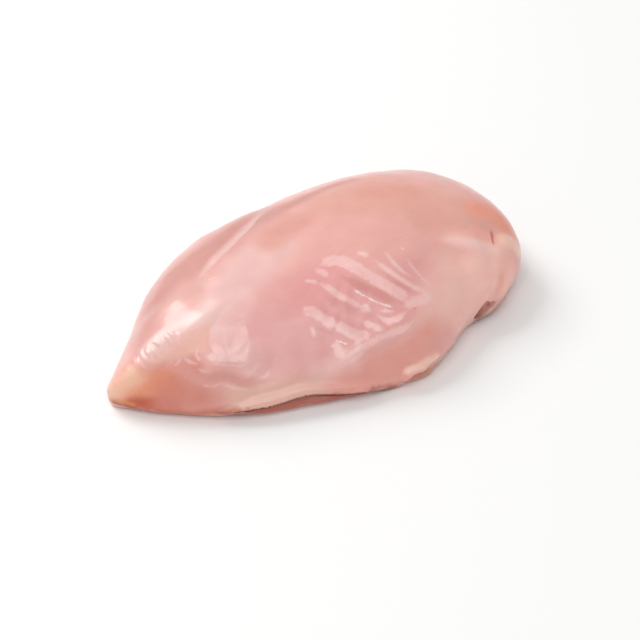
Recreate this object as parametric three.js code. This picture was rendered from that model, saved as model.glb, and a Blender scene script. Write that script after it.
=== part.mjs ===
// A raw boneless, skinless chicken breast lying smooth side up: one piece of meat, so one solid.
// Millimetres, +Z up. +X runs along the breast, from its narrow tip to its thick shoulder end.
// +Y points to the back edge. The origin is on the resting surface, under the middle of the
// bounding box.
import * as THREE from "three";
import { mergeVertices } from "three/addons/utils/BufferGeometryUtils.js";

// ---- driving dimensions, in millimetres ----
const LENGTH = 172; // tip to shoulder end
const WIDTH = 100; // front edge to back edge
const THICKNESS = 34; // at the highest point, over the shoulder half
const TIP_HEIGHT = 4.5; // middle of the thin tip, above the surface it rests on
const END_HEIGHT = 13; // middle of the rounded shoulder end
const CURL = 6.5; // how far the meat tucks in under its own edge
const CURL_LIMIT = 0.45; // at most this share of the cross section's width, near the narrow tip
const TIP_ROUNDING = 0.05; // share of the stations over which the underside rises to the tip
const END_ROUNDING = 0.24; // and to the shoulder end
const FOLDS = 5; // folds in the loose skin of the meat over its front half
const FOLD_HEIGHT = 0.7;
const FOLD_WIDTH = 2.4;
const FULL_RELIEF = 0.5; // share of the way up a flank at which the relief has its full height

// ---- how finely the solid is faceted ----
const STATIONS = 84; // cross sections, counted along the breast
const TOP_STEPS = 48; // steps over the top of a cross section, from edge to edge
const CURL_STEPS = 8; // steps down each edge, from its rim to the flat underside
const FLAT_STEPS = 4; // steps across the flat underside
const END_CROWDING = 0.8; // 0 spaces the steps evenly, 1 crowds them at the ends as a cosine does

// A smooth value along the breast, from knots of [station, value]. Stations run from 0 at the tip to
// 1 at the shoulder end, and lie closer together towards both, so that the ends come out round.
function profile(...knots) {
  const curve = new THREE.SplineCurve(knots.map(([t, value]) => new THREE.Vector2(t, value)));
  const samples = curve.getPoints(240);
  return (t) => {
    const next = Math.max(1, samples.findIndex((p) => p.x >= t - 1e-9));
    const [a, b] = [samples[next - 1], samples[next]];
    return THREE.MathUtils.mapLinear(t, a.x, b.x, a.y, b.y);
  };
}

// The angle, from 0 to a half turn, of a step that is a given share of the way. Its cosine gives
// the place. The steps are nearly even in the middle and closer together at both ends.
function stepAngle(share) {
  return THREE.MathUtils.lerp(Math.PI * share, Math.acos(1 - 2 * share), 1 - END_CROWDING);
}

// ---- the form, station by station ----
// How far the edges stand from the long axis, as shares of half the width. The front edge runs
// straight in from its widest point to a notch, beside the lobe of the shoulder end.
const backEdge = profile([0, 0], [0.1, 0.1], [0.2, 0.325], [0.3, 0.715], [0.4, 0.955], [0.5, 1],
  [0.6, 0.975], [0.7, 0.885], [0.8, 0.7], [0.9, 0.395], [1, 0.05]);
const frontEdge = profile([0, 0], [0.1, -0.15], [0.2, -0.375], [0.3, -0.63], [0.4, -0.805],
  [0.5, -0.945], [0.56, -1], [0.6, -0.955], [0.65, -0.82], [0.69, -0.725], [0.73, -0.735],
  [0.8, -0.61], [0.9, -0.38], [1, 0.05]);

// Heights, in millimetres: the crest of each cross section and the rims of its two edges.
const crestHeight = profile([0, TIP_HEIGHT], [0.1, 11], [0.2, 19], [0.3, 25], [0.4, 29.5], [0.5, 32.5],
  [0.6, THICKNESS], [0.7, 32.5], [0.8, 29], [0.9, 22.5], [1, END_HEIGHT]);
const backRim = profile([0, TIP_HEIGHT], [0.2, 8], [0.5, 14], [0.8, 17], [1, END_HEIGHT]);
const frontRim = profile([0, TIP_HEIGHT], [0.2, 3.5], [0.5, 4.5], [0.58, 7.5], [0.7, 9.5], [0.8, 11],
  [1, END_HEIGHT]);

// How deep the front edge is undercut: its upper layer overhangs the one that it rests on.
const undercut = profile([0, 0], [0.2, 0], [0.4, 1], [0.52, 1.6], [0.58, 2.2], [0.68, 1.6], [0.76, 0],
  [1, 0]);

// Where the crest stands, from 0 at the front edge to 1 at the back edge.
const crestPlace = profile([0, 0.5], [0.2, 0.42], [0.5, 0.5], [0.8, 0.55], [1, 0.5]);

// How full the two flanks are: 1 is a round arch, less is boxier and more is roof-shaped.
const backFlank = profile([0, 1.1], [0.2, 1.15], [0.5, 0.95], [0.8, 0.85], [1, 1]);
const frontFlank = profile([0, 1.1], [0.2, 1.5], [0.35, 1.7], [0.5, 1.6], [0.65, 1.5], [0.8, 1.1],
  [1, 1]);

// The height of the underside: flat on the surface, rising in a quarter round at both ends.
function underside(t) {
  const rise = (share) => 1 - Math.sin((Math.PI / 2) * Math.min(1, share));
  return TIP_HEIGHT * rise(t / TIP_ROUNDING) + END_HEIGHT * rise((1 - t) / END_ROUNDING);
}

// ---- relief on the top ----
// A soft ridge, or a groove where the height is negative, along a path of [x, y] corners.
function stroke(height, width, ...path) {
  const corners = path.map(([x, y]) => new THREE.Vector3(x, y, 0));
  const pieces = corners.slice(1).map((corner, i) => new THREE.Line3(corners[i], corner));
  const nearest = new THREE.Vector3();
  const distance = (point, piece) => piece.closestPointToPoint(point, true, nearest).distanceTo(point);
  return (point) => {
    const away = Math.min(...pieces.map((piece) => distance(point, piece)));
    return height * Math.exp(-((away / width) ** 2));
  };
}

const relief = [
  stroke(1.3, 8, [-82, -1], [-70, -2.5], [-56, -3.5], [-40, 1]), // ridge that runs up from the tip
  stroke(0.9, 5, [-52, -18], [-43, -22]), // flat patch beside the ridge
  stroke(-0.8, 4, [-38, 18], [-16, 30], [3, 42], [9, 50]), // shallow valley down the back slope
  stroke(-0.8, 2.6, [-62, -14], [-56, -21], [-46, -27], [-36, -30]), // crease below the flat patch
  stroke(1.1, 2.6, [-12, -39], [1, -38.5], [14, -38.5], [27, -36]), // raised line below the folds
  stroke(-1.4, 3.6, [66, -18], [68, -16]), // dimple in the shoulder end
  stroke(-1, 3, [50, -38], [57, -33], [64, -23]), // fold from the notch up to the dimple
  stroke(0.8, 3.5, [45, -14], [67, -25]), // band raised beside the dimple
];
for (let i = 0; i < FOLDS; i++) {
  const share = i / (FOLDS - 1);
  const upperEnd = [THREE.MathUtils.lerp(-15, 17, share), THREE.MathUtils.lerp(-20, -11, share)];
  const lowerEnd = [THREE.MathUtils.lerp(-2, 28, share), THREE.MathUtils.lerp(-35, -32, share)];
  relief.push(stroke(FOLD_HEIGHT, FOLD_WIDTH, upperEnd, lowerEnd));
}

// ---- the solid ----
// One closed cross section at station t: over the top from the front rim to the back rim, down the
// back edge, across the flat underside, and up the front edge.
function crossSection(t) {
  const x = (-LENGTH / 2) * Math.cos(Math.PI * t);
  const [front, back] = [frontEdge(t) * (WIDTH / 2), backEdge(t) * (WIDTH / 2)];
  const crest = THREE.MathUtils.lerp(front, back, crestPlace(t));
  const bottom = underside(t);
  const inset = Math.min(CURL, CURL_LIMIT * (back - front));
  const sides = { front: [front, frontRim(t), frontFlank(t)], back: [back, backRim(t), backFlank(t)] };
  const points = [];

  for (let i = 0; i < TOP_STEPS; i++) {
    const angle = stepAngle(i / TOP_STEPS);
    const [edge, rim, shape] = angle < Math.PI / 2 ? sides.front : sides.back;
    const y = crest + (edge - crest) * Math.abs(Math.cos(angle));
    const up = Math.sin(angle) ** shape;
    const point = new THREE.Vector3(x, y, 0);
    const raised = relief.reduce((sum, strokeHeight) => sum + strokeHeight(point), 0);
    const share = Math.min(1, up / FULL_RELIEF);
    points.push([x, y, rim + (crestHeight(t) - rim) * up + raised * share]);
  }
  // A quarter turn under the edge. A groove cuts into its upper half, and the lower half stands
  // out by as much, as the layer underneath.
  const curl = ([edge, rim], direction, step, groove) => {
    const angle = (Math.PI / 2) * (step / CURL_STEPS);
    const inward = inset * (1 - Math.cos(angle)) + groove * Math.sin(4 * angle);
    return [x, edge - direction * inward, rim - (rim - bottom) * Math.sin(angle)];
  };
  for (let i = 0; i < CURL_STEPS; i++) points.push(curl(sides.back, 1, i, 0));
  for (let i = 0; i < FLAT_STEPS; i++) {
    points.push([x, THREE.MathUtils.lerp(back - inset, front + inset, i / FLAT_STEPS), bottom]);
  }
  for (let i = CURL_STEPS; i > 0; i--) points.push(curl(sides.front, -1, i, undercut(t)));
  return points;
}

// Skins the cross sections into one closed surface. The first and last ones are single points.
function breastGeometry() {
  const tip = [-LENGTH / 2, backEdge(0) * (WIDTH / 2), TIP_HEIGHT];
  const end = [LENGTH / 2, backEdge(1) * (WIDTH / 2), END_HEIGHT];
  const rings = [];
  for (let i = 1; i < STATIONS; i++) rings.push(crossSection(stepAngle(i / STATIONS) / Math.PI));
  const positions = [];
  const triangle = (...corners) => corners.forEach((corner) => positions.push(...corner));
  const around = rings[0].length;
  for (let j = 0; j < around; j++) {
    const k = (j + 1) % around;
    triangle(tip, rings[0][j], rings[0][k]);
    for (let i = 1; i < rings.length; i++) {
      const [a, b, c, d] = [rings[i - 1][j], rings[i - 1][k], rings[i][k], rings[i][j]];
      triangle(a, c, b);
      triangle(a, d, c);
    }
    triangle(end, rings.at(-1)[k], rings.at(-1)[j]);
  }
  const geometry = new THREE.BufferGeometry();
  geometry.setAttribute("position", new THREE.Float32BufferAttribute(positions, 3));
  const merged = mergeVertices(geometry, 1e-4);
  merged.computeVertexNormals();
  return merged;
}

const rawMeat = new THREE.MeshStandardMaterial({ color: 0xe0aaa2, roughness: 0.3, metalness: 0 });
const breast = new THREE.Mesh(breastGeometry(), rawMeat);
breast.name = "chicken_breast";

const part = new THREE.Group();
part.add(breast);

export default part;
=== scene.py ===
# %% [markdown]
# # A raw boneless chicken breast
# One piece of meat, lying smooth side up: a thin pointed tip, a ridge that runs up from it, and a
# thick round shoulder end. The measured solid gives the size and the main form. Everything here is
# in metres, in that solid's own frame: +X from the tip to the shoulder end, +Y to the back edge, +Z up.

# %% Load the measured solid
import math

import bpy
import numpy as np
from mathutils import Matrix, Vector, noise


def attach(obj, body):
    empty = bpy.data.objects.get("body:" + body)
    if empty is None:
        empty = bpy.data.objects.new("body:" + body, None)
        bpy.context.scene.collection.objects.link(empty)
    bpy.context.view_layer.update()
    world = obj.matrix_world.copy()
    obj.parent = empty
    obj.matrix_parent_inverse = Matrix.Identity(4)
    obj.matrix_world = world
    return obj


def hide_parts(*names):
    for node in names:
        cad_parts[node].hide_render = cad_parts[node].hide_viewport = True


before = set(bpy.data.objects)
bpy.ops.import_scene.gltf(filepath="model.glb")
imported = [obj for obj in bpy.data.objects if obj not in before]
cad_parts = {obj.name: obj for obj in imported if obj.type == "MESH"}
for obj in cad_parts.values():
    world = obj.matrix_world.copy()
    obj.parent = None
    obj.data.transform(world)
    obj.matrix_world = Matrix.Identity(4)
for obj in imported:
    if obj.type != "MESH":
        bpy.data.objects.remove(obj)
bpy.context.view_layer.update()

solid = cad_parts["chicken_breast"]

# %% [markdown]
# ## The view
# The breast is seen from the front and above, from its tip's side, about 65 cm away. A 100 mm lens
# from there keeps the sides nearly parallel, which suits food. The camera is aimed at a point inside
# the meat, so that no lens shift is needed.

# %% Camera
MM = 0.001
CAMERA_AZIMUTH = math.radians(-32)
CAMERA_ELEVATION = math.radians(41)
CAMERA_DISTANCE = 652 * MM
AIM = Vector((-4.9, -12.4, 12)) * MM


def direction(azimuth, elevation):
    """The way to a viewer or a light: azimuth 0 is in front of the breast, elevation is up."""
    flat = math.cos(elevation)
    return Vector((math.sin(azimuth) * flat, -math.cos(azimuth) * flat, math.sin(elevation)))


def aim(thing, azimuth, elevation, distance):
    """Puts a camera or a lamp at a distance from the breast and turns it to face the meat."""
    away = direction(azimuth, elevation)
    thing.location = AIM + away * distance
    thing.rotation_euler = away.to_track_quat("Z", "Y").to_euler()


bpy.ops.object.camera_add()
camera = bpy.context.object
camera.data.lens = 100
camera.data.sensor_width = 36
aim(camera, CAMERA_AZIMUTH, CAMERA_ELEVATION, CAMERA_DISTANCE)
bpy.context.scene.camera = camera
print("camera at", [round(v, 3) for v in camera.location])

# %% [markdown]
# ## The light
# The wet surface shows the light as much as the colour does. A pale room lights the meat evenly from
# all sides, as in a bright kitchen. A wide soft lamp behind and to the left is mirrored along the ridge
# near the tip and throws the shadow beside the notch. A weaker one high over the front is mirrored in
# the flat wet patches. View transform Standard keeps the pinks as they are set.

# %% Lamps and room
def soft_lamp(name, azimuth, elevation, distance, width, height, power):
    """A rectangular soft lamp, its angles counted from the front of the breast."""
    bpy.ops.object.light_add(type="AREA")
    lamp = bpy.context.object
    lamp.name = name
    lamp.data.shape = "RECTANGLE"
    lamp.data.size = width
    lamp.data.size_y = height
    lamp.data.energy = power
    aim(lamp, azimuth, elevation, distance)
    return lamp


BEHIND = CAMERA_AZIMUTH + math.radians(180)
key = soft_lamp("key", BEHIND + math.radians(47), math.radians(41),
                distance=1.6, width=0.85, height=0.85, power=14)
overhead = soft_lamp("overhead", CAMERA_AZIMUTH, math.radians(62),
                     distance=2.0, width=1.5, height=1.5, power=13)

world = bpy.data.worlds.new("pale_room")
world.use_nodes = True
world.node_tree.nodes["Background"].inputs["Color"].default_value = (1, 1, 1, 1)
world.node_tree.nodes["Background"].inputs["Strength"].default_value = 0.5
bpy.context.scene.world = world
bpy.context.scene.view_settings.view_transform = "Standard"
print("lamps:", key.name, overhead.name)

# %% [markdown]
# ## Working habits
# An operator acts on whatever is selected, so each step first selects only its own object. Sizes are
# written in millimetres and multiplied by MM.

# %% Small helpers for selecting, for modifiers and for colours
def only(thing):
    """Leaves one object selected and active."""
    bpy.ops.object.select_all(action="DESELECT")
    thing.select_set(True)
    bpy.context.view_layer.objects.active = thing


def apply_modifier(thing, kind, **settings):
    """Adds a modifier with its settings and applies it."""
    only(thing)
    modifier = thing.modifiers.new(kind.lower(), kind)
    for name, value in settings.items():
        setattr(modifier, name, value)
    bpy.ops.object.modifier_apply(modifier=modifier.name)


def linear(hex_colour):
    """An sRGB colour such as "E0AAA2" as the linear red, green and blue that a shader wants."""
    channels = [int(hex_colour[i:i + 2], 16) / 255 for i in (0, 2, 4)]
    return [c / 12.92 if c <= 0.04045 else ((c + 0.055) / 1.055) ** 2.4 for c in channels]


# %% [markdown]
# ## The surface it lies on
# A plain pale surface with a satin finish catches the shadow. It could be a box or a curved backdrop,
# but a wide plane is enough from above.

# %% The surface it lies on
bpy.ops.mesh.primitive_plane_add(size=6)
floor = bpy.context.object
floor.name = "floor"
floor_material = bpy.data.materials.new("pale_satin_surface")
floor_material.use_nodes = True
floor_shader = floor_material.node_tree.nodes["Principled BSDF"]
floor_shader.inputs["Base Color"].default_value = (*linear("F9F9F8"), 1)
floor_shader.inputs["Roughness"].default_value = 0.5
floor.data.materials.append(floor_material)
print("surface:", floor.name, "of", round(floor.dimensions.x, 1), "m")

# %% [markdown]
# ## The body of the meat
# The body could start as a ball that is pulled long and wrapped onto the solid, but a wrap loses the
# edge that hangs over the layer below it. So it starts as a copy of the solid: its doubled corners
# are merged, and its triangles are joined to four-sided faces. One level of subdivision then rounds
# out the flat facets, so that the wet shine runs over the meat without a break.

# %% A smooth copy of the solid
only(solid)
bpy.ops.object.duplicate()
meat = bpy.context.object
meat.name = "raw_breast_meat"
meat.data.name = "raw_breast_meat"
bpy.ops.object.mode_set(mode="EDIT")
bpy.ops.mesh.select_all(action="SELECT")
bpy.ops.mesh.remove_doubles(threshold=0.01 * MM)
bpy.ops.mesh.tris_convert_to_quads(face_threshold=math.radians(170), shape_threshold=math.radians(170))
bpy.ops.object.mode_set(mode="OBJECT")
apply_modifier(meat, "SUBSURF", levels=1, render_levels=1)
print("meat:", len(meat.data.vertices), "vertices,", len(meat.data.polygons), "faces")

# %% [markdown]
# ## Places on the meat
# The folds, wrinkles and tints are placed by points of the picture, which is 640 by 640. A ray from
# the camera carries each point onto the meat, so every mark sits on the surface, seen from any side.

# %% From the picture to the meat
PICTURE = 640
FOCAL = camera.data.lens / camera.data.sensor_width * PICTURE
PAST_AIM = 90  # mm along a ray, before and behind the aim, in which it can pass the meat's edge
RAY_STEP = 3
bpy.context.view_layer.update()
camera_turn = camera.matrix_world.to_3x3()


def on_meat(u, v):
    """The place on the meat that the camera sees at a point of the picture."""
    ray = (camera_turn @ Vector((u - PICTURE / 2, PICTURE / 2 - v, -FOCAL))).normalized()
    hit, place, _, _ = meat.ray_cast(camera.location, ray)
    if not hit:  # a point just past the edge goes to the nearest part of the edge
        ways = range(-PAST_AIM, PAST_AIM + 1, RAY_STEP)
        stops = [camera.location + ray * (CAMERA_DISTANCE + way * MM) for way in ways]
        pairs = [(stop, meat.closest_point_on_mesh(stop)[1]) for stop in stops]
        place = min(pairs, key=lambda pair: (pair[0] - pair[1]).length)[1]
    return np.array(place)


def in_picture(places):
    """The points of the picture at which the camera sees these places."""
    seen = (places - np.array(camera.location)) @ np.array(camera_turn)
    return PICTURE / 2 + seen[:, :2] * (FOCAL, -FOCAL) / -seen[:, 2:]


def read_places(thing):
    """Where the vertices of a mesh are, as rows of three numbers."""
    flat = np.empty(len(thing.data.vertices) * 3)
    thing.data.vertices.foreach_get("co", flat)
    return flat.reshape(-1, 3)


print("middle of the picture is on the meat at", np.round(on_meat(320, 320) / MM, 1), "mm")

# %% [markdown]
# ## Drawing on the meat
# A fold, a groove and a tint are all drawn in the same way: a smooth line on the surface, and around
# it a band that is full in its middle and fades at its sides. A little noise wobbles the band's width,
# as nothing in meat is ruled. The band is a weight for each vertex: sculpting multiplies it by a
# height, and painting by a colour.

# %% Bands along a line
LINE_STEPS = 6  # straight pieces between two points of a line


def smooth_line(points):
    """A curve on the meat through points of the picture, as places."""
    corners = np.array([on_meat(u, v) for u, v in points])
    corners = np.vstack([2 * corners[0] - corners[1], corners, 2 * corners[-1] - corners[-2]])
    line = []
    for a, b, c, d in zip(corners, corners[1:], corners[2:], corners[3:]):
        for t in np.linspace(0, 1, LINE_STEPS, endpoint=False):
            line.append(b + t / 2 * (c - a + t * (2 * a - 5 * b + 4 * c - d + t * (3 * (b - c) + d - a))))
    return np.array([*line, corners[-2]])


def measure(line, places):
    """How far each place is from a line, how far along it, from 0 to 1, and on which side."""
    away = np.full(len(places), np.inf)
    along = np.zeros(len(places))
    side = np.ones(len(places))
    steps = np.linalg.norm(np.diff(line, axis=0), axis=1)
    walked = np.concatenate([[0], np.cumsum(steps)]) / steps.sum()
    towards_camera = np.array(direction(CAMERA_AZIMUTH, CAMERA_ELEVATION))
    for i, (start, end) in enumerate(zip(line, line[1:])):
        step = end - start
        share = np.clip((places - start) @ step / (step @ step), 0, 1)
        offset = places - start - share[:, None] * step
        distance = np.linalg.norm(offset, axis=1)
        closer = distance < away
        away[closer] = distance[closer]
        along[closer] = (walked[i] + share * (walked[i + 1] - walked[i]))[closer]
        side[closer] = np.sign(offset @ np.cross(step, towards_camera))[closer]
    return away, along, side


def ease(share):
    """0 below 0, 1 above 1 and a soft S between them."""
    share = np.clip(share, 0, 1)
    return share * share * (3 - 2 * share)


def uneven(*sizes):
    """Soft noise from about -1 to 1 for each vertex, with lumps of these sizes in millimetres."""
    return np.array([sum(noise.noise(Vector(p) / (size * MM)) for size in sizes) for p in places])


ABOVE_BOARD = 0.4 * MM  # the flat underside, which is lower than this, is left alone
WOBBLE_LUMPS = (3.5, 1.3, 0.7)  # mm, for the sides of narrow bands
DRIFT_LUMPS = (22, 9)  # mm, for the sides of wide bands
DRIFT_SHARE = 0.25  # how far the sides of a wide band wander, as a share of their softness
END_WIDTH = 0.4  # how wide the sides still are where a band has faded, as a share of their softness


def survey():
    """Reads where the meat's vertices are. It is run again after each change to the net."""
    global places, above_board, wobble, drift
    bpy.context.view_layer.update()
    places = read_places(meat)
    above_board = places[:, 2] > ABOVE_BOARD
    wobble = uneven(*WOBBLE_LUMPS)
    drift = uneven(*DRIFT_LUMPS)


survey()


def band(points, flat, soft, fade=0.3, ragged=0.3, creases=0, sides=None):
    """A weight for each vertex: 1 within a flat half-width of the line, falling to 0 over a soft width.

    Widths are in millimetres. Soft may be a pair, for the right and the left of the line as one walks
    it. The band narrows and fades over a share of its length at each end, or has round ends where
    that is 0. Its sides wobble by the ragged width, and creases cross it at that spacing."""
    line = smooth_line(points)
    right, left = soft if isinstance(soft, tuple) else (soft, soft)
    reach = (flat + max(right, left) + 2 * ragged) * MM
    near = np.flatnonzero(((places > line.min(0) - reach) & (places < line.max(0) + reach)).all(1)
                          & above_board)
    away, along, side = measure(line, places[near])
    away = away / MM + ragged * wobble[near]
    if sides is not None:
        away += DRIFT_SHARE * max(right, left) * sides[near]
    ends = ease(along / fade) * ease((1 - along) / fade) if fade else np.ones(len(near))
    width = np.where(side > 0, right, left) * (END_WIDTH + (1 - END_WIDTH) * ends)
    weight = np.zeros(len(places))
    weight[near] = ease(1 - (away - flat * ends) / width) * np.sqrt(ends)
    if creases:
        length = np.linalg.norm(np.diff(line, axis=0), axis=1).sum() / MM
        spots = zip(along * length / creases, side * away / (3 * creases))
        weight[near] *= [noise.noise(Vector((u, v, creases))) for u, v in spots]
    return weight


# %% Sculpting with bands
LEAST_WEIGHT = 0.002  # a vertex with a smaller weight than this stays where it is
LEAST_RISE = 0.001  # mm, so that nothing is divided by 0


def weigh(name, weights):
    """A vertex group of the meat with these weights."""
    group = meat.vertex_groups.new(name=name)
    for i in np.flatnonzero(weights > LEAST_WEIGHT):
        group.add([int(i)], weights[i], "REPLACE")


def press(relief):
    """Raises and sinks the meat along its normals by a height for each vertex, in millimetres."""
    for name, heights in (("raised", relief), ("sunk", -relief)):
        deepest = max(heights.max(), LEAST_RISE)
        weigh(name, heights / deepest)
        strength = (deepest if name == "raised" else -deepest) * MM
        apply_modifier(meat, "DISPLACE", strength=strength, mid_level=0, vertex_group=name)
    print("pressed: up to", round(relief.max(), 2), "mm up and", round(-relief.min(), 2), "mm down")


# %% [markdown]
# ## The ridge and the edges
# From the tip a ridge runs up the meat. Behind it the side falls away gently and mirrors the lamp, and
# in front of it the surface turns sharply. Along the front the upper layer ends in a lip, which runs up
# to a notch, and below it lies a thinner, redder layer. All three are lines through points of the
# picture, because the forms, the finer net and the tints follow the same lines.

# %% Large forms
def shifted(points, right, down):
    """The same line, moved by some points of the picture."""
    return [(u + right, v + down) for u, v in points]


RIDGE = [(116, 388), (127, 377), (150, 360.5), (170, 346), (190, 332.5), (207, 317), (226, 299)]
LIP = [(232, 411), (250, 407), (266, 403.5), (282, 399.5), (296, 395), (312, 392), (340, 391),
       (362, 388.5), (386, 386), (401, 381), (410, 375), (421, 370), (431, 366), (438, 359),
       (446, 351), (454, 342), (462, 330), (468, 320), (475, 310), (482, 303)]
UNDER_LIP = [(236, 414), (254, 411), (270, 408), (286, 403.5), (300, 399), (316, 396.5), (342, 394.5),
             (363, 391.5), (388, 387.5), (403, 384), (412, 379), (422, 375), (432, 370.5), (441, 361.5),
             (449, 354), (456, 343.5), (464.5, 332), (471, 323), (479, 315)]
print("lip through", len(LIP), "points, under-layer through", len(UNDER_LIP))

# %% [markdown]
# The solid's undercut runs on to the notch and ends there in a crisp hole, and its shoulder end has a
# round dimple. The meat is softer in these places. They could be smoothed with a brush by hand. Here a
# Smooth modifier does it, limited to them by a vertex group, while the net is still coarse.

# %% Iron the edge, the notch and the dimple
IRONED = {  # line, half-width, softness
    "edge up to the notch": (shifted(LIP[13:-1], 1, 3), 3, 2.5),
    "head of the notch": ([(486, 303), (482, 310), (478, 316)], 6.5, 3),
    "dimple in the shoulder end": ([(487, 240), (489, 235)], 2.5, 4),
}
PASSES = 80
for name, (points, flat, soft) in IRONED.items():
    weigh(name, band(points, flat, soft, fade=0, ragged=0))
    apply_modifier(meat, "SMOOTH", factor=0.5, iterations=PASSES, vertex_group=name)
    survey()
print("ironed:", ", ".join(IRONED))

# %% [markdown]
# ## A finer net where the detail is
# The folds are a millimetre wide, so the net needs squares of about 0.4 mm there, but not below or
# behind. Faces are selected by where the picture shows them, and each is cut in three both ways. The
# lip is sharper still, so the faces along it are then halved once more.

# %% Subdivide the detailed areas
FINE_AREAS = {  # left, top, right and bottom in the picture
    "folds": (298, 242, 438, 374),
    "tip wrinkles": (128, 300, 275, 393),
    "shoulder end": (452, 222, 520, 322),
    "front edge": (225, 385, 425, 422),
    "flap": (400, 300, 490, 385),
    "streak": (192, 206, 268, 284),
}
FACING = 0.1  # a face turned further away than this shows too little to need detail

centres = np.array([face.center for face in meat.data.polygons])
normals = np.array([face.normal for face in meat.data.polygons])
u, v = in_picture(centres).T
to_camera = np.array(camera.location) - centres
to_camera /= np.linalg.norm(to_camera, axis=1)[:, None]
seen = (normals * to_camera).sum(1) > FACING
fine = np.zeros(len(centres), bool)
for left, top, right, bottom in FINE_AREAS.values():
    fine |= seen & (u > left) & (u < right) & (v > top) & (v < bottom)


def refine(marked, cuts):
    """Cuts the marked faces of the meat into smaller ones and evens their corners out."""
    only(meat)
    bpy.ops.object.mode_set(mode="EDIT")
    bpy.ops.mesh.select_mode(type="FACE")
    bpy.ops.mesh.select_all(action="DESELECT")
    bpy.ops.object.mode_set(mode="OBJECT")
    for face, is_marked in zip(meat.data.polygons, marked):
        face.select = bool(is_marked)
    bpy.ops.object.mode_set(mode="EDIT")
    bpy.ops.mesh.subdivide(number_cuts=cuts, smoothness=1)
    bpy.ops.object.mode_set(mode="OBJECT")
    apply_modifier(meat, "SMOOTH", factor=0.5, iterations=2)
    meat.data.calc_loop_triangles()
    print("meat:", len(meat.data.vertices), "vertices,", len(meat.data.loop_triangles), "triangles")


LIP_REACH = 2.2  # mm from the line of the under-layer that get the finest net

refine(fine, 2)
survey()
near_lip = band(UNDER_LIP[:13], LIP_REACH, 0.5, fade=0, ragged=0) > 0.5
refine([all(near_lip[i] for i in face.vertices) for face in meat.data.polygons], 1)
survey()

# %% [markdown]
# The layer under the lip is thinner than the solid makes it. It is lowered towards the surface that the
# meat lies on, by a share of its own height, so that none of it is pushed through the underside.

# %% Lower the under-layer
SQUASH = 0.36  # how much lower the under-layer lies than the solid's edge, as a share of its height
highest = places[:, 2].max()
lowered = SQUASH * band(UNDER_LIP[:11], 1.6, (2.5, 0.8), fade=0.12, ragged=0) * places[:, 2] / highest
weigh("squashed", lowered)
apply_modifier(meat, "DISPLACE", strength=-highest, mid_level=0, direction="Z", vertex_group="squashed")
survey()
print("under-layer lowered by up to", round(lowered.max() * highest / MM, 1), "mm")

# %% [markdown]
# The large forms are raised and sunk together, so that the meat's surface stays whole where they
# meet. Creases across a band give the beads along the ridge and a fine ripple under the wet skin. Soft
# lumps all over keep the shine from looking machined.

# %% Raise the ridge and the lip, and sink what lies under them
FORMS = {  # line, height, half-width, softness, share of its length over which it fades
    "ridge": (RIDGE, 0.15, 0.2, (5, 12), 0.3),
    "slope behind the ridge": ([(150, 335), (163, 319), (176, 306)], 0.25, 1, 12, 0),
    "lip": ([(204, 413), (218, 413), *LIP[:14]], 0.35, 0.2, (0.8, 4), 0.25),
    "gap under the lip": (shifted(LIP[:10], 1, 2.2), -0.35, 0.1, 0.8, 0.1),
    "gap under the lobe": ([(489, 301), (481, 310), (474, 319)], -0.55, 0.3, (0.8, 3.5), 0.15),
}
CREASED = {  # line, height, half-width, softness, spacing of the creases
    "beads along the ridge": (shifted(RIDGE[1:5], -3, -4), 0.11, 2.0, 2.5, 1.6),
    "ripple on the patch": ([(205, 345), (230, 340), (250, 352)], 0.05, 5, 4, 2.5),
    "ripple on the folds": ([(310, 290), (345, 300), (385, 310)], 0.05, 6, 6, 2.5),
}
LUMP_HEIGHT = 0.07  # mm
LUMP_SIZE = 9  # mm

relief = LUMP_HEIGHT * uneven(LUMP_SIZE) * above_board
for points, rise, flat, soft, fade in FORMS.values():
    relief += rise * band(points, flat, soft, fade=fade, ragged=0)
for points, rise, flat, soft, spacing in CREASED.values():
    relief += rise * band(points, flat, soft, creases=spacing)
press(relief)

# %% [markdown]
# ## The folds
# Over the front half the thin skin of the meat has gathered in folds, with thin wet edges that mirror
# the lamp and troughs between them. Finer wrinkles lie near the tip and at the shoulder end. They could be
# sculpted stroke by stroke. Here each one is a line with its height, the half-width of its flat top and
# the softness of its sides, in millimetres, and a displacement raises or sinks it.

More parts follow.
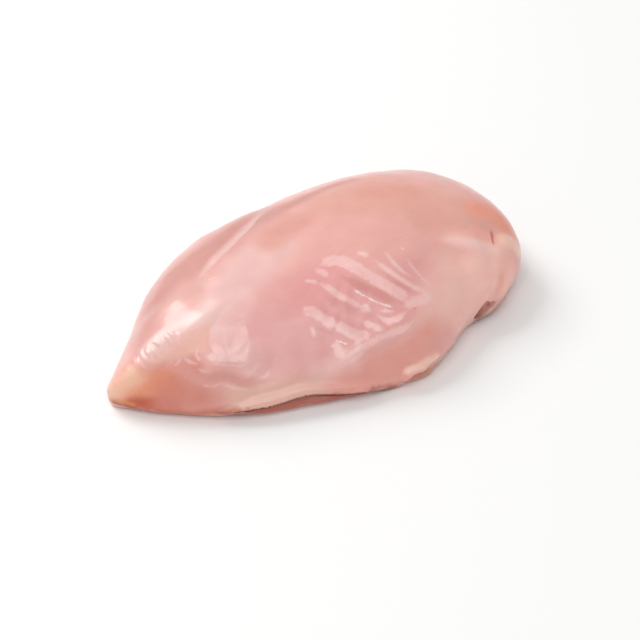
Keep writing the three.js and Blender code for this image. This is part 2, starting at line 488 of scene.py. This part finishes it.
# %% Folds and the troughs between them
FOLDS = {  # line, height, half-width, softness
    "wide band": ([(318, 267), (334, 261), (348, 265), (362, 272), (376, 280), (390, 288), (402, 295),
                   (413, 301)], 0.5, 1.7, 1.0),
    "wide band, left": ([(322, 264), (335, 259), (348, 262), (364, 270)], 0.2, 1.4, 1.1),
    "speck above": ([(355, 254), (362, 253), (368, 258)], 0.3, 0.5, 0.9),
    "upper line": ([(370, 255), (378, 263), (390, 272), (400, 279), (412, 286), (424, 291), (434, 298)],
                   0.65, 0.6, 0.8),
    "short line": ([(384, 250), (392, 261), (400, 269), (413, 279)], 0.5, 0.45, 0.8),
    "bright speck": ([(401, 247), (404, 250)], 0.2, 0.4, 0.6),
    "faint line": ([(406, 258), (415, 270), (424, 280), (434, 291)], 0.35, 0.3, 0.8),
    "hook": ([(313, 271), (320, 271), (329, 277)], 0.4, 0.8, 0.9),
    "left branch": ([(303, 281), (311, 281), (319, 283)], 0.25, 0.3, 0.8),
    "lower band": ([(314, 281), (327, 287), (338, 295), (350, 301), (362, 307), (370, 312)], 0.45, 0.7, 0.9),
    "star": ([(359, 311), (366, 308), (372, 314)], 0.3, 0.8, 0.8),
    "oval": ([(375, 314), (384, 319), (392, 320), (401, 316), (408, 310)], 0.5, 0.7, 0.9),
    "oval, upper side": ([(378, 311), (389, 311), (399, 311)], 0.3, 0.2, 0.6),
    "short band": ([(361, 321), (370, 325), (378, 328), (385, 331)], 0.4, 0.7, 0.9),
    "long band, left": ([(302, 314), (312, 311), (324, 319), (337, 326)], 0.45, 1.3, 1.1),
    "long band, right": ([(334, 325), (349, 331), (360, 336), (371, 335)], 0.45, 1.5, 1.0),
    "corner": ([(334, 342), (340, 351), (338, 358)], 0.35, 1.1, 1.1),
    "raised line": ([(337, 363), (352, 353), (365, 345), (380, 338), (397, 331), (410, 324), (422, 312)],
                    0.75, 0.6, 0.9),
    "upper double": ([(351, 347), (360, 341), (372, 335)], 0.3, 0.3, 0.8),
    "lower double": ([(340, 368), (355, 358), (366, 351)], 0.3, 0.3, 0.8),
    "knot": ([(404, 306), (415, 302), (424, 298), (431, 295)], 0.35, 1.2, 1.2),
    "left specks": ([(310, 326), (313, 331), (314, 338)], 0.2, 0.3, 0.9),
}
GLINTS = {  # thin edges that stand up from a fold
    "thin edge": ([(345, 282), (351, 287), (358, 292), (365, 296), (377, 302), (392, 307), (405, 307)],
                  0.3, 0.05, 0.36),
    "corner edge": ([(335, 340), (342, 342.5), (350, 345.5)], 0.3, 0.05, 0.36),
}
TROUGHS = {  # between the folds, where the meat shows darker
    "deep trough": ([(336, 273), (348, 280), (360, 285), (373, 291), (388, 298), (406, 304)],
                    -0.75, 0.9, 1.5),
    "upper trough": ([(376, 268), (395, 281), (412, 291), (425, 297)], -0.4, 0.5, 0.8),
    "lower trough": ([(322, 294), (335, 303), (350, 311), (368, 319)], -0.35, 0.8, 1.6),
    "under the long band": ([(312, 325), (325, 331), (340, 337)], -0.4, 0.2, 0.7),
    "below the raised line": ([(352, 366), (372, 352), (395, 341), (415, 330)], -0.25, 0.3, 1.6),
    "pit": ([(412, 307), (414, 308), (417, 308.5)], -0.6, 0.2, 0.5),
    "oval hollow": ([(382, 314), (387, 316), (393, 315)], -0.4, 0.4, 0.6),
}

# %% Wrinkles and hollows away from the folds
WRINKLES = {  # line, height, half-width, softness
    "patch": ([(208, 343), (228, 340), (251, 339)], 0.1, 4.6, 1.8),
    "patch foot": ([(205, 356), (224, 358), (250, 356)], 0.1, 1.0, 0.9),
    "patch edge": ([(203, 360), (216, 364), (228, 365), (242, 366), (254, 358)], 0.3, 0.15, 0.5),
    "left of the patch": ([(199, 345), (196, 354), (202, 363)], 0.25, 0.2, 0.5),
    "smile": ([(183, 357), (190, 362), (199, 364)], 0.35, 0.25, 0.5),
    "small smile": ([(174, 366), (178, 363), (181, 357)], 0.25, 0.15, 0.5),
    "dash": ([(198, 369), (203, 371), (208, 372)], 0.2, 0.15, 0.5),
    "long wrinkle": ([(199, 385), (207, 386), (215, 386), (224, 381)], 0.2, 0.12, 0.45),
    "first arc": ([(237, 370), (250, 373), (256, 367), (258, 360)], 0.35, 0.25, 0.5),
    "second arc": ([(258, 377), (266, 377), (269, 369)], 0.3, 0.25, 0.5),
    "above the patch": ([(231, 323), (240, 323), (249, 319)], 0.15, 0.15, 0.5),
    "further above": ([(238, 317), (246, 315)], 0.12, 0.1, 0.5),
    "lower line": ([(220, 384), (236, 388), (254, 391)], 0.2, 0.2, 0.6),
    "streak": ([(197, 281), (212, 264), (230, 246), (246, 230), (264, 211)], 0.2, 0.4, (1.3, 4.0)),
    "dark wrinkle": ([(207, 281), (212, 279), (217, 278)], 0.15, 0.1, 0.5),
    "shoulder band": ([(438, 238), (470, 243), (500, 250)], 0.15, 0.6, 3.2),
    "lobe fold": ([(498, 270), (495, 281), (490, 292), (482, 302)], 0.4, 0.2, (0.7, 1.8)),
}
HOLLOWS = {  # line, height, half-width, softness
    "crease below the patch": ([(172, 371), (200, 377), (225, 377), (248, 383), (284, 378)],
                               -0.25, 0.6, 2.2),
    "beside the patch": ([(211, 326), (206, 342), (206, 352)], -0.3, 0.3, 1.0),
    "slit": ([(491, 229), (492, 238), (494, 246)], -1.0, 0.15, 0.7),
    "beside the lobe fold": ([(503, 270), (500, 285), (494, 299)], -0.25, 0.2, 2.4),
}

# %% Press them into the meat
BROAD = 1  # mm of half-width from which a mark has blunt ends
FINE = 0.4  # mm of half-width below which its sides are less ragged


def all_bands(marks):
    """Each mark's name with its height and its band."""
    bands = {}
    for name, (points, rise, flat, soft) in marks.items():
        fade = 0.3 if flat < BROAD else 0.12
        ragged = 0.3 if flat < FINE else 0.45
        bands[name] = (rise, band(points, flat, soft, fade=fade, ragged=ragged))
    return bands


folds, glints, troughs = all_bands(FOLDS), all_bands(GLINTS), all_bands(TROUGHS)
wrinkles, hollows = all_bands(WRINKLES), all_bands(HOLLOWS)
press(sum(rise * weight for rise, weight in [*folds.values(), *glints.values(), *troughs.values()]))
press(sum(rise * weight for rise, weight in [*wrinkles.values(), *hollows.values()]))

# %% [markdown]
# Smoothing and pressing have left a few places a hair below the surface that the meat lies on. Scaling
# them to nothing in height, about the origin, puts them back on it.

# %% Flatten the underside again
only(meat)
bpy.ops.object.mode_set(mode="EDIT")
bpy.ops.mesh.select_mode(type="VERT")
bpy.ops.mesh.select_all(action="DESELECT")
bpy.ops.object.mode_set(mode="OBJECT")
for vertex in meat.data.vertices:
    vertex.select = vertex.co.z < 0
bpy.ops.object.mode_set(mode="EDIT")
bpy.ops.transform.resize(value=(1, 1, 0), center_override=(0, 0, 0))
bpy.ops.object.mode_set(mode="OBJECT")
print("lowest vertex at", round(min(vertex.co.z for vertex in meat.data.vertices) / MM, 3), "mm")

# %% [markdown]
# ## The tints
# Raw breast meat isn't one pink. Where it is thin, at the tip, it is orange; the thick top is salmon;
# the thin fat at the front edge is cream; and the layer that shows under the lip is a darker red, partly
# its own colour and partly painted shade. Some washes are painted light and shade: highlights on the
# ridge and the wet patch, paler washes where the lamps leave shade, darker ones to damp the lamp's
# sheen, and painted shade along the lower edges, in the notch and under the lobe. The tints are laid
# over each other as washes of paint are, each one along a line. They are kept as a colour at each vertex.

# %% Washes of colour
FLESH = "EAB1A9"
tint = np.tile(linear(FLESH), (len(places), 1))


def wash(weight, colour, strength=1.0):
    """Lays a colour over the meat by a weight for each vertex."""
    share = (weight * strength)[:, None]
    tint[:] = tint * (1 - share) + np.array(linear(colour)) * share


WASHES = {  # line, half-width, softness, colour, strength
    "back slope": ([(140, 332), (160, 294), (190, 263), (222, 240), (258, 215)], 2, 13, "D0938A", 0.85),
    "salmon top": ([(340, 202), (385, 196), (440, 208), (478, 222)], 5, 14, "E4A99B", 0.9),
    "orange top": ([(364, 194), (388, 192), (410, 192)], 1.5, 6, "E1A191", 0.7),
    "pale rim": ([(350, 177), (400, 172), (440, 181)], 0.8, 4, "E8BFB8", 0.6),
    "orange shoulder": ([(478, 208), (496, 214), (508, 228)], 0.5, 9, "F29A82", 0.8),
    "sheen on the left": ([(226, 290), (248, 270), (266, 254)], 3, 12, "EAC5C2", 0.6),
    "valley": ([(270, 240), (284, 228), (296, 220)], 1, 8, "E09F90", 0.7),
    # painted darker, to damp the lamp's sheen that grazes the back rim
    "rim of the back": ([(288, 206), (312, 194), (334, 185), (352, 180)], 0.5, 4.5, "D2948A", 0.8),
    # painted darker, to cut short the lamp's highlight on the ridge
    "above the highlight": ([(178, 300), (190, 290), (200, 284)], 1, 6, "E0AFA4", 0.6),
    # this wash and the next: partly pale silverskin, partly painted highlight of the wet patch
    "above the patch": ([(222, 312), (240, 305), (258, 318)], 2, 8, "F6CFCA", 0.6),
    "around the patch": ([(207, 316), (232, 322), (252, 340), (257, 363)], 2.0, 8, "F8D0CB", 0.7),
    "pink middle": ([(272, 332), (290, 345), (318, 350), (305, 305)], 5, 16, "E8A9A7", 0.75),
    "fold ground": ([(325, 285), (360, 310), (400, 300), (420, 285)], 7, 10, "E8A6A4", 0.85),
    # painted light: paler than the flesh, to make up for the shade that the lamps leave on the front
    "front right": ([(345, 380), (375, 368), (405, 350), (425, 332)], 2, 12, "EAA598", 0.85),
    "beside the raised line": ([(352, 357), (375, 347), (400, 335), (422, 316), (432, 302)],
                               0.6, 4, "F4C8C2", 0.5),
    "below the folds": ([(316, 372), (333, 370), (350, 362)], 1.0, 6, "F6CCC6", 0.6),
    # painted light: paler, to make up for the shade on the right side, which faces away from the lamps
    "right": ([(445, 300), (462, 280), (480, 262)], 4, 14, "FFCBC0", 0.9),
    "cream front": ([(245, 402), (268, 394), (290, 389), (312, 386)], 0.6, 8, "EBC0B0", 0.85),
    # painted light: paler, to make up for the shade on the lobe's slope
    "lobe": ([(506, 250), (508, 268), (503, 286)], 1, 6, "FFBFB1", 0.9),
    # painted light: paler, to cancel the shade left in the ironed dimple
    "beside the slit": ([(476, 231), (487, 239)], 1, 4, "F6B3A4", 0.6),
    "band": ([(452, 241), (470, 244), (500, 250)], 0.4, 4.5, "F4C8BD", 0.65),
    # painted highlight: a paler tint behind the ridge, for the lamp's sheen on it
    "ridge": ([(150, 352), (170, 335), (188, 322), (203, 310)], 1.5, 6, "EBCFCA", 0.55),
    "under the ridge": ([(138, 380), (160, 366), (185, 350), (205, 335)], 0.5, 5, "F0B8A8", 0.7),
    "before the ridge": ([(165, 375), (178, 369), (192, 366)], 0.5, 5, "E09080", 0.8),
    "orange tip": ([(128, 394), (142, 391), (158, 389)], 0.8, 9, "F09C78", 0.9),
    # partly painted shade: a darker band where the tip's lower edge turns under
    "brown under the tip": ([(131, 403), (142, 403), (155, 405), (170, 408)], 0.8, 4.2, "C4532A", 0.9),
    "red of the tip": ([(170, 401), (185, 401), (198, 399)], 1, 10, "DD8F7F", 0.85),
    "pale tip": ([(112, 392), (121, 387), (132, 378)], 0.8, 6, "FFD0B4", 0.85),
    "golden corner": ([(111, 400), (120, 402), (132, 405)], 0.2, 1.8, "DF9460", 0.8),
    # this line and the next: partly the redder edge of the meat, partly painted shade where the lower edge
    # turns under
    "red line at the tip": ([(114, 402.5), (126, 406), (140, 409.5), (152, 412)], 0, 1.6, "A84A34", 0.8),
    "edge of the front": ([(160, 412), (190, 414), (215, 413), (236, 410)], 0.2, 2.6, "C9755C", 0.8),
    # painted shade: darker where the front edge rolls under, towards the surface it lies on
    "painted shade where the edge rolls under": ([(318, 396), (345, 392.5), (370, 390), (392, 385.5)], 0.2, 1.7, "9A5444", 0.75),
    # the redder under-layer, painted darker in part as shade under the lip
    "below the lip": ([(216, 414), *shifted(UNDER_LIP[:11], 0, 1.5)], 1.5, 1.1, "B0604E", 0.9),
    "shade under the lip": ([(212, 412), *shifted(LIP[:10], 0.8, 2.2)], 0.2, 1.3, "8A4030", 0.75),
    # the under-layer below the flap, painted a little darker as shade
    "below the flap": (UNDER_LIP[10:14], 0.8, 1.2, "D49A88", 0.9),
    # painted shade on the side wall below the edge, up to the notch
    "edge up to the notch": (UNDER_LIP[13:], 0.2, 1.4, "CB9888", 0.6),
    # painted shade: the underside of the lobe, which the lobe keeps in shade
    "painted shade under the lobe": ([(511, 298), (501, 308), (491, 316), (481, 322)], 1.2, 4.0, "A66A5A", 0.85),
    # painted shade in the notch, where the lobe meets the edge
    "notch": ([(492, 303), (485, 308), (476, 317)], 0.4, (1.0, 3.0), "9C5C4C", 0.75),
    "flap": ([(409, 371), (420, 366), (428, 361), (437, 357)], 0.5, 1.9, "F6CDBE", 0.9),
    "glint on the lobe": ([(504, 240), (511, 242), (518, 250)], 1.2, 3.6, "FFD2C0", 0.95),
}
SOFTEST = 4  # mm of softness above which a wash's sides also wander
LONGEST = 8  # points of a line above which a wash fades at its ends
for points, flat, soft, colour, strength in WASHES.values():
    sides = drift if np.max(soft) > SOFTEST else None
    fade = 0.12 if len(points) > LONGEST else 0
    wash(band(points, flat, soft, fade, ragged=0.25, sides=sides), colour, strength)

for weight, colour, strength in (
    (wrinkles["lobe fold"][1], "EEC2AE", 0.8),
    (wrinkles["streak"][1], "F0CBC6", 0.3),
    (hollows["slit"][1], "CC5A64", 0.8),
    (hollows["beside the lobe fold"][1], "E4AA9C", 0.4),
    (hollows["crease below the patch"][1], "D79186", 0.5),
):
    wash(weight, colour, strength)

# %% [markdown]
# The skin of the folds is silverskin: thin, wet, paler than the meat and glossier. Its pale wash also
# stands in part for the lamp's sheen on the wet skin, as a painted highlight. A second value for
# each vertex says how much of it there is, so that the finish can follow it too.

# %% Silverskin
SKIN_SPOTS = 1.8  # mm, over which the skin of the folds is thicker and thinner
PATCH_SPOTS = 2.5  # mm, the same for the flat patch
SKIN_AND_SHEEN_PALENESS = 0.72

silverskin = np.zeros(len(places))
for marks, strength in ((folds, 0.9), (wrinkles, 0.6), (glints, 1)):
    for rise, weight in marks.values():
        silverskin = np.maximum(silverskin, weight * strength)
silverskin *= np.clip(1.0 + 0.5 * uneven(SKIN_SPOTS), 0.4, 1)
for name in ("patch", "patch foot"):
    silverskin = np.maximum(silverskin, 0.8 * wrinkles[name][1] * (1 + 0.2 * uneven(PATCH_SPOTS)))
# partly the paler silverskin, partly painted highlight on the folds and the patch
wash(silverskin, "FBD2CF", SKIN_AND_SHEEN_PALENESS)
# painted highlight: near-white along the thin wet edges, where they mirror the lamp
for rise, weight in glints.values():
    wash(weight, "FAE8E4", 0.9)
# the troughs are painted darker, the more so the deeper each one is
for rise, weight in troughs.values():
    wash(weight, "DA9891", -rise)

colours = meat.data.color_attributes.new("flesh_tint", "FLOAT_COLOR", "POINT")
colours.data.foreach_set("color", np.hstack([tint, np.ones((len(tint), 1))]).ravel())
skin = meat.data.attributes.new("silverskin", "FLOAT", "POINT")
skin.data.foreach_set("value", silverskin)
print("washes:", len(WASHES), "- silverskin on", int((silverskin > 0.3).sum()), "vertices")

# %% [markdown]
# ## The material
# Raw muscle is moist, slightly see-through protein. Light sinks a few millimetres in and comes back
# redder, which is subsurface scattering, and a film of meat juice on top gives it a clear soft coat. The
# tint of each vertex is broken up by mottling about 7 mm across and by fibres about 0.8 mm apart.

# %% Raw meat
def add_node(tree, kind, inputs=None, **settings):
    """Adds a node, sets its properties and fills its inputs with values or links."""
    node = tree.nodes.new(kind)
    for name, value in settings.items():
        setattr(node, name, value)
    for name, value in (inputs or {}).items():
        if isinstance(value, bpy.types.NodeSocket):
            tree.links.new(value, node.inputs[name])
        else:
            node.inputs[name].default_value = value
    return node


MOTTLE_SIZE = 7 * MM
FIBRE_SPACING = 0.8 * MM
FIBRE_LENGTH = 14 * MM
FIBRE_ANGLE = math.radians(28)  # fibres run from the front of the tip to the back of the shoulder
GRAIN_SIZE = 0.5 * MM
GRAIN_DEPTH = 0.04 * MM
FILM_SPOTS = 3 * MM  # the film of juice is thicker and thinner over this size
LIGHT_DEPTH = 3 * MM  # how far red light spreads in the flesh

flesh = bpy.data.materials.new("raw_chicken_flesh")
flesh.use_nodes = True
tree = flesh.node_tree
shader = tree.nodes["Principled BSDF"]
places_in = add_node(tree, "ShaderNodeTexCoord").outputs["Object"]
painted = add_node(tree, "ShaderNodeAttribute", attribute_name="flesh_tint").outputs["Color"]
skin_share = add_node(tree, "ShaderNodeAttribute", attribute_name="silverskin").outputs["Fac"]

mottle = add_node(tree, "ShaderNodeTexNoise",
                  {"Vector": places_in, "Scale": 1 / MOTTLE_SIZE, "Detail": 3, "Roughness": 0.55})
along_fibres = add_node(tree, "ShaderNodeMapping", {
    "Vector": places_in, "Rotation": (0, 0, -FIBRE_ANGLE),
    "Scale": (1 / FIBRE_LENGTH, 1 / FIBRE_SPACING, 1 / FIBRE_SPACING)})
fibres = add_node(tree, "ShaderNodeTexNoise",
                  {"Vector": along_fibres.outputs["Vector"], "Scale": 1, "Detail": 2})
mottle_tone = add_node(tree, "ShaderNodeValToRGB", {"Fac": mottle.outputs["Fac"]})
mottle_tone.color_ramp.elements[0].position = 0.3
mottle_tone.color_ramp.elements[1].position = 0.7
mottle_tone.color_ramp.elements[0].color = (0.97, 0.93, 0.93, 1)
mottle_tone.color_ramp.elements[1].color = (1, 1, 0.98, 1)
fibre_tone = add_node(tree, "ShaderNodeMapRange", {
    "Value": fibres.outputs["Fac"], "From Min": 0.3, "From Max": 0.7, "To Min": 0.985, "To Max": 1.015})
MIX_A, MIX_B, MIX_RESULT = 6, 7, 2  # a Mix node's sockets for colours share their names with others
mottled = add_node(tree, "ShaderNodeMix", data_type="RGBA", blend_type="MULTIPLY")
mottled.inputs["Factor"].default_value = 1
tree.links.new(painted, mottled.inputs[MIX_A])
tree.links.new(mottle_tone.outputs["Color"], mottled.inputs[MIX_B])
colour = add_node(tree, "ShaderNodeVectorMath", {
    "Vector": mottled.outputs[MIX_RESULT], "Scale": fibre_tone.outputs["Result"]}, operation="SCALE")

wetness = add_node(tree, "ShaderNodeTexNoise", {"Vector": places_in, "Scale": 1 / FILM_SPOTS, "Detail": 2})
film = add_node(tree, "ShaderNodeMapRange", {
    "Value": wetness.outputs["Fac"], "From Min": 0.3, "From Max": 0.7, "To Min": 0.28, "To Max": 0.42})
coat = add_node(tree, "ShaderNodeMapRange", {"Value": skin_share, "To Min": 0.45, "To Max": 1.0})
grain = add_node(tree, "ShaderNodeTexNoise", {"Vector": places_in, "Scale": 1 / GRAIN_SIZE, "Detail": 2})
relief_of_fibres = add_node(tree, "ShaderNodeMath", {0: fibres.outputs["Fac"], 1: grain.outputs["Fac"]},
                            operation="ADD")
bump = add_node(tree, "ShaderNodeBump", {
    "Height": relief_of_fibres.outputs["Value"], "Strength": 0.4, "Distance": GRAIN_DEPTH})

for socket, value in {
    "Base Color": colour.outputs["Vector"], "Roughness": film.outputs["Result"], "IOR": 1.4,
    "Normal": bump.outputs["Normal"], "Coat Weight": coat.outputs["Result"], "Coat Roughness": 0.14,
    "Subsurface Weight": 0.45, "Subsurface Radius": (1.0, 0.45, 0.3), "Subsurface Scale": LIGHT_DEPTH,
}.items():
    if isinstance(value, bpy.types.NodeSocket):
        tree.links.new(value, shader.inputs[socket])
    else:
        shader.inputs[socket].default_value = value
meat.data.materials.clear()
meat.data.materials.append(flesh)
only(meat)
bpy.ops.object.shade_smooth()
print("material:", flesh.name, "with", len(tree.nodes), "nodes")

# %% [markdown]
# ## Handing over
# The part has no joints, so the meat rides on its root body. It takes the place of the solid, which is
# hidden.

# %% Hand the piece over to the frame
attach(meat, "root")
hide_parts("chicken_breast")
